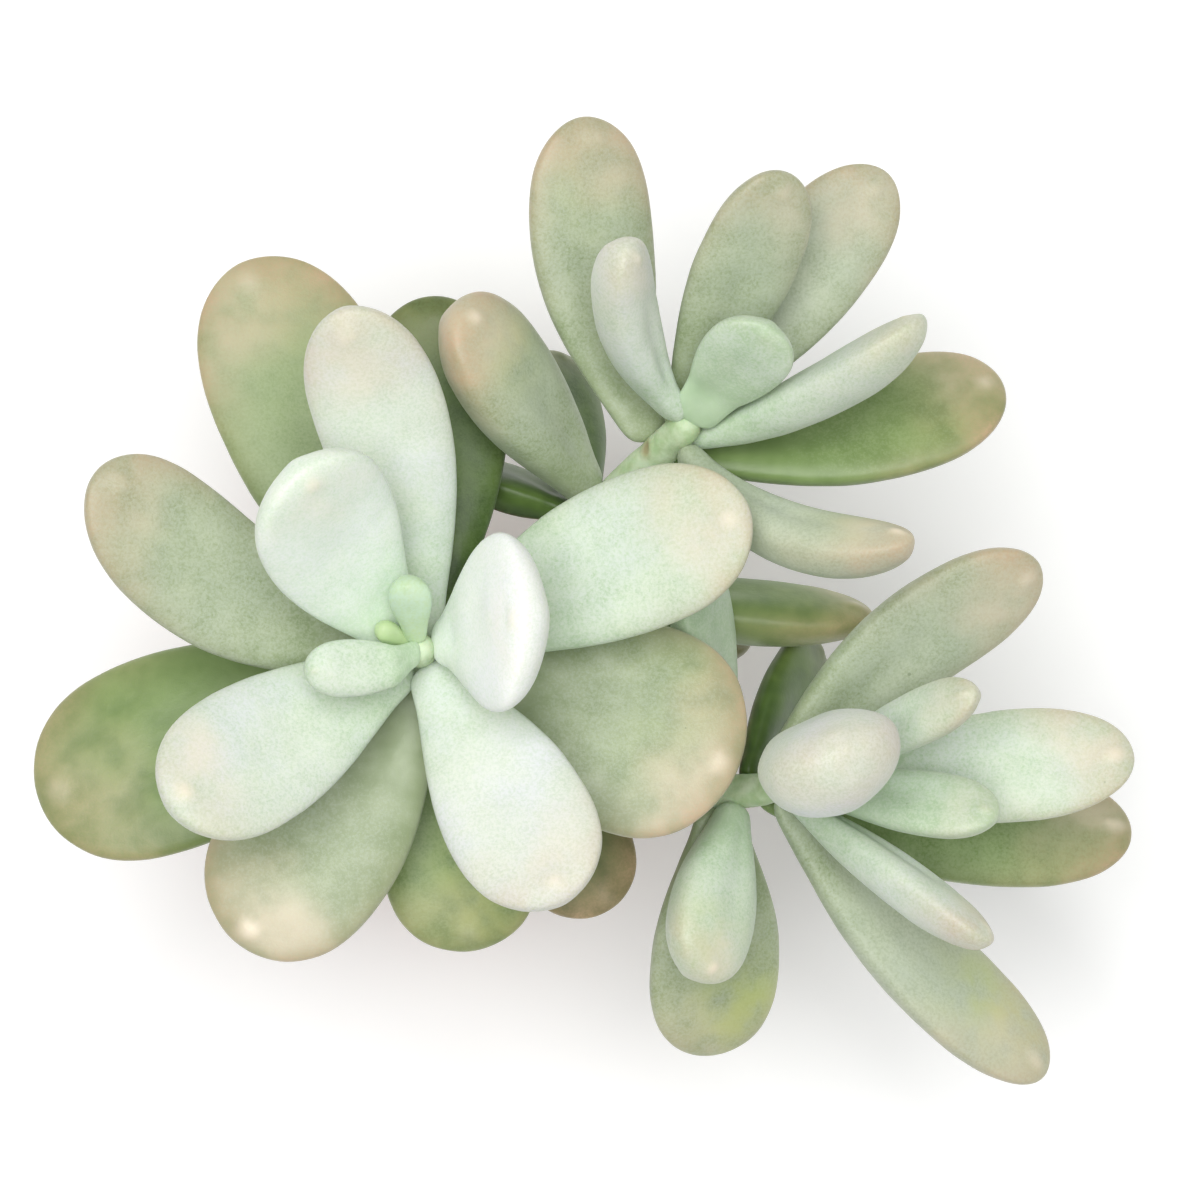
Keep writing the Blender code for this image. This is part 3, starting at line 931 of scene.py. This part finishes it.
@dataclass
class Stem:
    """The stem with its two branches, one piece. Lengths are in metres.

    voxel is the size of the mesh's squares. scar_gap is how far apart leaf scars are at
    least, scar_radius their size and scar_relief how far their rims stand out. Bark covers the
    stem up to bark_above_lip above the pot's lip.
    """

    voxel: float = 0.0006
    smoothing: int = 14
    scar_gap: float = 0.0065
    scar_radius: float = 0.0016
    scar_relief: float = 0.00022
    bark_above_lip: float = 0.016
    seed: int = 5

    def build(self) -> int:
        """Builds and dresses the stem.

        Returns:
            How many leaf scars it has.
        """
        rough = bpy.data.objects.new("stem_rough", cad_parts["stem"].data.copy())
        bpy.context.scene.collection.objects.link(rough)
        remesh = rough.modifiers.new("squares", "REMESH")
        remesh.mode = "VOXEL"
        remesh.voxel_size = self.voxel
        smooth = rough.modifiers.new("smooth", "SMOOTH")
        smooth.factor = 0.5
        smooth.iterations = self.smoothing
        graph = bpy.context.evaluated_depsgraph_get()
        mesh = bpy.data.meshes.new_from_object(rough.evaluated_get(graph))
        mesh.name = "stem_skin"
        bpy.data.objects.remove(rough)
        points = points_of(mesh)
        normals = normals_of(mesh)
        scars = self.choose_scars(points)
        rim = np.zeros(len(points))
        dish = np.zeros(len(points))
        for scar in scars:
            away = np.linalg.norm((points - points[scar]) * (1, 1, 1.5), axis=1) / self.scar_radius
            facing = normals @ normals[scar] > 0.2
            rim = np.maximum(rim, facing * np.exp(-(((away - 1) / 0.35) ** 2)))
            dish = np.maximum(dish, facing * np.exp(-(away**4)))
        swell = cloud_values(points, 3.5, 9) * 0.00018 + cloud_values(points, 1.2, 11) * 0.00005
        push = 0.00012 + swell + self.scar_relief * (rim - 0.7 * dish)
        points += push[:, None] * normals
        mesh.vertices.foreach_set("co", points.ravel())
        mesh.update()
        store(mesh, "scar", np.maximum(dish, 0.4 * rim))
        bark_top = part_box("pot")[1][2] + self.bark_above_lip
        green = smooth_step(points[:, 2], bark_top - 0.018, bark_top + 0.012)
        store(mesh, "bark", 1 - green)
        place_piece("stem_skin", mesh, StemSkin().build(), "stem")
        return len(scars)

    def choose_scars(self, points: np.ndarray) -> list[int]:
        """Picks where old leaves fell off, clear of each other.

        Args:
            points: The stem's points.

        Returns:
            The scars' point numbers.
        """
        soil_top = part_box("soil")[1][2]
        order = np.random.default_rng(self.seed).permutation(len(points))
        chosen: list[int] = []
        for at in order:
            if points[at, 2] < soil_top + 0.002:
                continue
            gaps = [np.linalg.norm(points[at] - points[other]) for other in chosen]
            if not gaps or min(gaps) > self.scar_gap:
                chosen.append(int(at))
        return chosen


@dataclass
class Soil:
    """The soil in the pot and the loose grit on it. Lengths are in metres.

    The surface lies crown higher round the stem than at the wall.
    """

    floor: float = 0.0063
    crown: float = 0.0025
    rings: int = 40
    sides: int = 96
    roughness: float = 0.0007
    grit_count: int = 420
    stem_radius: float = 0.0062
    seed: int = 11

    def build(self) -> int:
        """Builds and dresses the soil and its grit.

        Returns:
            The number of loose pieces.
        """
        low, high = (np.array(corner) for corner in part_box("soil"))
        self.edge = (high[0] - low[0]) / 2 - 0.0001
        self.level = high[2] - self.crown
        self.foot = self.edge - 0.0067
        place_piece("soil_bed", self.bed(), PottingSoil().build(), "soil")
        place_piece("soil_grit", self.grit(), MixedGrit().build())
        return self.grit_count

    def height(self, x: np.ndarray, y: np.ndarray) -> np.ndarray:
        """Gives the soil's height above the floor at points of the pot's opening.

        Args:
            x: How far right of the axis each point is.
            y: How far behind the axis each point is.

        Returns:
            The heights, in the points' own layout.
        """
        share = np.clip(np.hypot(x, y) / self.edge, 0, 1)
        crown = self.crown * np.cos(share * np.pi / 2)
        spots = np.stack([x, y, np.zeros_like(x)], axis=-1).reshape(-1, 3)
        bumps = 0.6 * cloud_values(spots, 6, 3) + 0.4 * cloud_values(spots, 2.2, 4)
        return self.level + crown - 0.0006 + self.roughness * bumps.reshape(x.shape)

    def bed(self) -> bpy.types.Mesh:
        """Makes the soil as one closed plug with a crumbly top.

        Returns:
            Its mesh.
        """
        turn = 2 * np.pi * np.arange(self.sides) / self.sides
        shares = np.linspace(0, 1, self.rings + 1)[1:]
        radii = np.repeat(shares * self.edge, self.sides).reshape(self.rings, -1)
        x = radii * np.cos(turn)
        y = radii * np.sin(turn)
        top = np.stack([x, y, self.height(x, y)], axis=-1)
        level = np.full(self.sides, self.floor)
        foot = np.stack([self.foot * np.cos(turn), self.foot * np.sin(turn), level], axis=-1)
        middles = ([[0, 0, self.level + self.crown]], [[0, 0, self.floor]])
        points = np.concatenate([middles[0], top.reshape(-1, 3), foot, middles[1]])
        at = 1 + np.arange((self.rings + 1) * self.sides).reshape(self.rings + 1, -1)
        beside = np.roll(at, -1, axis=1)
        last = len(points) - 1
        faces = np.stack([at[:-1], at[1:], beside[1:], beside[:-1]], -1).reshape(-1, 4).tolist()
        faces += [[0, int(a), int(b)] for a, b in zip(at[0], beside[0])]
        faces += [[last, int(b), int(a)] for a, b in zip(at[-1], beside[-1])]
        mesh = bpy.data.meshes.new("soil_bed")
        mesh.from_pydata(points.tolist(), [], faces)
        mesh.update()
        return mesh

    def grit(self) -> bpy.types.Mesh:
        """Scatters pumice, bark and crumbs over the soil.

        Returns:
            All the loose pieces as one mesh.
        """
        chance = np.random.default_rng(self.seed)
        lump = bmesh.new()
        bmesh.ops.create_icosphere(lump, subdivisions=2, radius=1.0)
        ball = np.array([v.co[:] for v in lump.verts])
        corners = np.array([[v.index for v in f.verts] for f in lump.faces])
        lump.free()
        points, faces, kinds = [], [], []
        for number in range(self.grit_count):
            size = chance.uniform(0.0004, 0.0011)
            reach = np.sqrt(chance.uniform((self.stem_radius / self.edge) ** 2, 0.88)) * self.edge
            turn = chance.uniform(0, 2 * np.pi)
            kind = chance.uniform()
            shape = size * chance.uniform(0.6, 1.3, 3) * (1, 1, 0.7)
            uneven = 1 + 0.28 * cloud_values(ball * 0.001, 1.1, number)
            axes, _ = np.linalg.qr(chance.normal(size=(3, 3)))
            x, y = reach * math.cos(turn), reach * math.sin(turn)
            ground = float(self.height(np.array([x]), np.array([y]))[0])
            lumps = (ball * uneven[:, None] * shape) @ axes + (x, y, ground + 0.25 * size)
            faces.append(corners + number * len(ball))
            points.append(lumps)
            kinds.append(np.full(len(ball), kind))
        mesh = bpy.data.meshes.new("soil_grit")
        mesh.from_pydata(np.concatenate(points).tolist(), [], np.concatenate(faces).tolist())
        work = bmesh.new()
        work.from_mesh(mesh)
        bmesh.ops.recalc_face_normals(work, faces=work.faces)
        work.to_mesh(mesh)
        work.free()
        store(mesh, "kind", np.concatenate(kinds))
        mesh.update()
        return mesh


@dataclass
class Pot:
    """A turned clay pot with a rim band and drain holes. Lengths are in metres.

    rounding is how far from a corner its curve starts, and step how long the mesh's squares are.
    """

    rim_depth: float = 0.016
    rim_step: float = 0.0024
    foot_radius: float = 0.025
    wall: float = 0.0044
    floor: float = 0.006
    rounding: float = 0.0012
    step: float = 0.0015
    wobble: float = 0.00015
    sides: int = 160
    drain_holes: int = 3
    drain_radius: float = 0.0035
    drain_ring: float = 0.013

    def build(self) -> int:
        """Builds and dresses the pot.

        Returns:
            How many drain holes it has.
        """
        low, high = (np.array(corner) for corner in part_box("pot"))
        self.height = high[2]
        self.rim_radius = (high[0] - low[0]) / 2
        outline = self.rounded(self.outline())
        mesh = self.turned(outline)
        mesh = self.drilled(mesh)
        points = points_of(mesh)
        wobble = cloud_values(points, 22, 2) * self.wobble
        radius = np.hypot(points[:, 0], points[:, 1])
        outward = points * (1, 1, 0) / np.maximum(radius, 1e-6)[:, None]
        points += wobble[:, None] * outward
        mesh.vertices.foreach_set("co", points.ravel())
        mesh.update()
        near_rim = np.exp(-(((points[:, 2] - self.height + self.rim_depth) / 0.006) ** 2))
        near_foot = np.exp(-((points[:, 2] / 0.010) ** 2))
        store(mesh, "lime", 0.2 + 0.35 * near_rim + 0.3 * near_foot)
        place_piece("clay_pot", mesh, FiredClay().build(), "pot")
        return self.drain_holes

    def outline(self) -> list[tuple[float, float]]:
        """Lists the corners of the pot's section, from the middle of its base outwards and up.

        Returns:
            The corners as radius and height.
        """
        band_foot = self.height - self.rim_depth
        slope = (self.rim_radius - self.rim_step - self.foot_radius) / self.height
        under_band = self.foot_radius + slope * band_foot
        return [
            (0.0, 0.0),
            (self.foot_radius, 0.0),
            (under_band, band_foot),
            (under_band + self.rim_step, band_foot),
            (self.rim_radius, self.height),
            (self.rim_radius - self.wall, self.height),
            (self.foot_radius + slope * self.floor - self.wall, self.floor),
            (0.0, self.floor),
        ]

    def rounded(self, corners: list[tuple[float, float]]) -> list[tuple[float, float]]:
        """Rounds each corner of the section that isn't on the pot's axis, and adds points between.

        Args:
            corners: The section's corners as radius and height.

        Returns:
            The smoother section.
        """
        section = [corners[0]]
        for before, here, after in zip(corners, corners[1:], corners[2:]):
            spot, back, ahead = (np.array(c) for c in (here, before, after))
            run_back, run_ahead = np.linalg.norm(back - spot), np.linalg.norm(ahead - spot)
            cut = min(self.rounding, 0.45 * run_back, 0.45 * run_ahead)
            start = spot + (back - spot) / run_back * cut
            end = spot + (ahead - spot) / run_ahead * cut
            for t in np.linspace(0, 1, 6):
                section.append(tuple((1 - t) ** 2 * start + 2 * t * (1 - t) * spot + t * t * end))
        section.append(corners[-1])
        fine = []
        for here, after in zip(section, section[1:]):
            steps = max(1, round(math.dist(here, after) / self.step))
            shares = np.arange(steps)[:, None] / steps
            fine += [tuple(spot) for spot in np.array(here) + shares * np.subtract(after, here)]
        return fine + [section[-1]]

    def turned(self, section: list[tuple[float, float]]) -> bpy.types.Mesh:
        """Turns the section round the pot's axis.

        Args:
            section: Its points as radius and height, the first and the last on the axis.

        Returns:
            The closed mesh.
        """
        inner = np.array(section[1:-1])
        turn = 2 * np.pi * np.arange(self.sides) / self.sides
        x = inner[:, :1] * np.cos(turn)
        y = inner[:, :1] * np.sin(turn)
        z = np.repeat(inner[:, 1:], self.sides, axis=1)
        rings = np.stack([x, y, z], axis=-1).reshape(-1, 3)
        points = np.concatenate([[[0, 0, section[0][1]]], rings, [[0, 0, section[-1][1]]]])
        at = 1 + np.arange(len(inner) * self.sides).reshape(len(inner), -1)
        beside = np.roll(at, -1, axis=1)
        last = len(points) - 1
        faces = np.stack([at[:-1], beside[:-1], beside[1:], at[1:]], -1).reshape(-1, 4).tolist()
        faces += [[0, int(b), int(a)] for a, b in zip(at[0], beside[0])]
        faces += [[last, int(a), int(b)] for a, b in zip(at[-1], beside[-1])]
        mesh = bpy.data.meshes.new("clay_pot")
        mesh.from_pydata(points.tolist(), [], faces)
        mesh.update()
        return mesh

    def drilled(self, mesh: bpy.types.Mesh) -> bpy.types.Mesh:
        """Cuts the drain holes through the floor.

        Args:
            mesh: The turned pot.

        Returns:
            The pot with its holes, as a new mesh.
        """
        pot = bpy.data.objects.new("pot_blank", mesh)
        bpy.context.scene.collection.objects.link(pot)
        drills = []
        for number in range(self.drain_holes):
            turn = 2 * math.pi * number / self.drain_holes + math.pi / 2
            work = bmesh.new()
            bmesh.ops.create_cone(
                work,
                cap_ends=True,
                segments=40,
                radius1=self.drain_radius,
                radius2=self.drain_radius,
                depth=4 * self.floor,
            )
            drill_mesh = bpy.data.meshes.new("drill")
            work.to_mesh(drill_mesh)
            work.free()
            drill = bpy.data.objects.new("drill", drill_mesh)
            drill.location = (self.drain_ring * math.cos(turn), self.drain_ring * math.sin(turn), 0)
            bpy.context.scene.collection.objects.link(drill)
            hole = pot.modifiers.new("drain", "BOOLEAN")
            hole.operation = "DIFFERENCE"
            hole.solver = "EXACT"
            hole.object = drill
            drills.append(drill)
        graph = bpy.context.evaluated_depsgraph_get()
        done = bpy.data.meshes.new_from_object(pot.evaluated_get(graph))
        for helper in (pot, *drills):
            bpy.data.objects.remove(helper)
        return done


# ---------------------------------------------------------------- studio


@dataclass
class Studio:
    """Floor, lights and the camera that hangs over the plant. Lengths are in metres.

    view_width is how much the camera takes in at leaf height, and aim_shift how far it hangs
    from the middle of the plant.
    """

    view_width: float = 0.210
    leaf_height: float = 0.125
    camera_above: float = 0.800
    aim_shift: tuple[float, float] = (0.0016, 0.0014)
    sensor: float = 36.0

    def build(self) -> None:
        """Builds the floor, the lights, the surroundings and the camera."""
        low, high = (np.array(corner) for corner in CAD_BOX)
        middle = (low + high) / 2
        self.lay_floor()
        self.light("overhead softbox", (-0.12, 0.20, 1.6), 1.1, 23.5, middle)
        self.light("fill softbox", (0.9, -0.7, 1.1), 1.0, 1.8, middle)
        world = bpy.data.worlds.new("white room")
        world.use_nodes = True
        world.node_tree.nodes["Background"].inputs["Color"].default_value = linear("#FBFCFF")
        world.node_tree.nodes["Background"].inputs["Strength"].default_value = 0.31
        bpy.context.scene.world = world
        self.hang_camera(middle)
        bpy.context.scene.view_settings.view_transform = "Standard"

    @staticmethod
    def lay_floor() -> None:
        """Lays a wide round floor that the pot stands on."""
        work = bmesh.new()
        bmesh.ops.create_circle(work, cap_ends=True, segments=96, radius=9.0)
        mesh = bpy.data.meshes.new("floor")
        work.to_mesh(mesh)
        work.free()
        mesh.materials.append(PaleBoard().build())
        floor = bpy.data.objects.new("floor", mesh)
        bpy.context.scene.collection.objects.link(floor)

    @staticmethod
    def light(name: str, at: tuple[float, ...], size: float, power: float, aim: np.ndarray) -> None:
        """Hangs one square soft light.

        Args:
            name: The light's name.
            at: Where it hangs.
            size: Its side.
            power: Its power in watts.
            aim: The point that it faces.
        """
        lamp = bpy.data.lights.new(name, "AREA")
        lamp.shape = "SQUARE"
        lamp.size = size
        lamp.energy = power
        holder = bpy.data.objects.new(name, lamp)
        holder.location = at
        holder.rotation_euler = (Vector(aim) - Vector(at)).to_track_quat("-Z", "Y").to_euler()
        bpy.context.scene.collection.objects.link(holder)

    def hang_camera(self, middle: np.ndarray) -> None:
        """Hangs the camera straight over the plant, with +Y upwards in its view.

        Args:
            middle: The middle of the plant's box.
        """
        data = bpy.data.cameras.new("overhead camera")
        data.sensor_width = self.sensor
        data.lens = self.sensor * self.camera_above / self.view_width
        data.clip_start = 0.01
        data.clip_end = 40
        camera = bpy.data.objects.new("overhead camera", data)
        camera.location = (
            middle[0] + self.aim_shift[0],
            middle[1] + self.aim_shift[1],
            self.leaf_height + self.camera_above,
        )
        bpy.context.scene.collection.objects.link(camera)
        bpy.context.scene.camera = camera


def main() -> None:
    """Builds the plant, its pot and the studio, and reports each piece."""
    logging.basicConfig(level=logging.INFO, format="%(name)s: %(message)s", stream=sys.stdout)
    log.info("leaves: %d", Foliage().build())
    log.info("stem: %d leaf scars", Stem().build())
    log.info("soil: %d loose pieces", Soil().build())
    log.info("pot: %d drain holes", Pot().build())
    Studio().build()


if __name__ == "__main__":
    main()
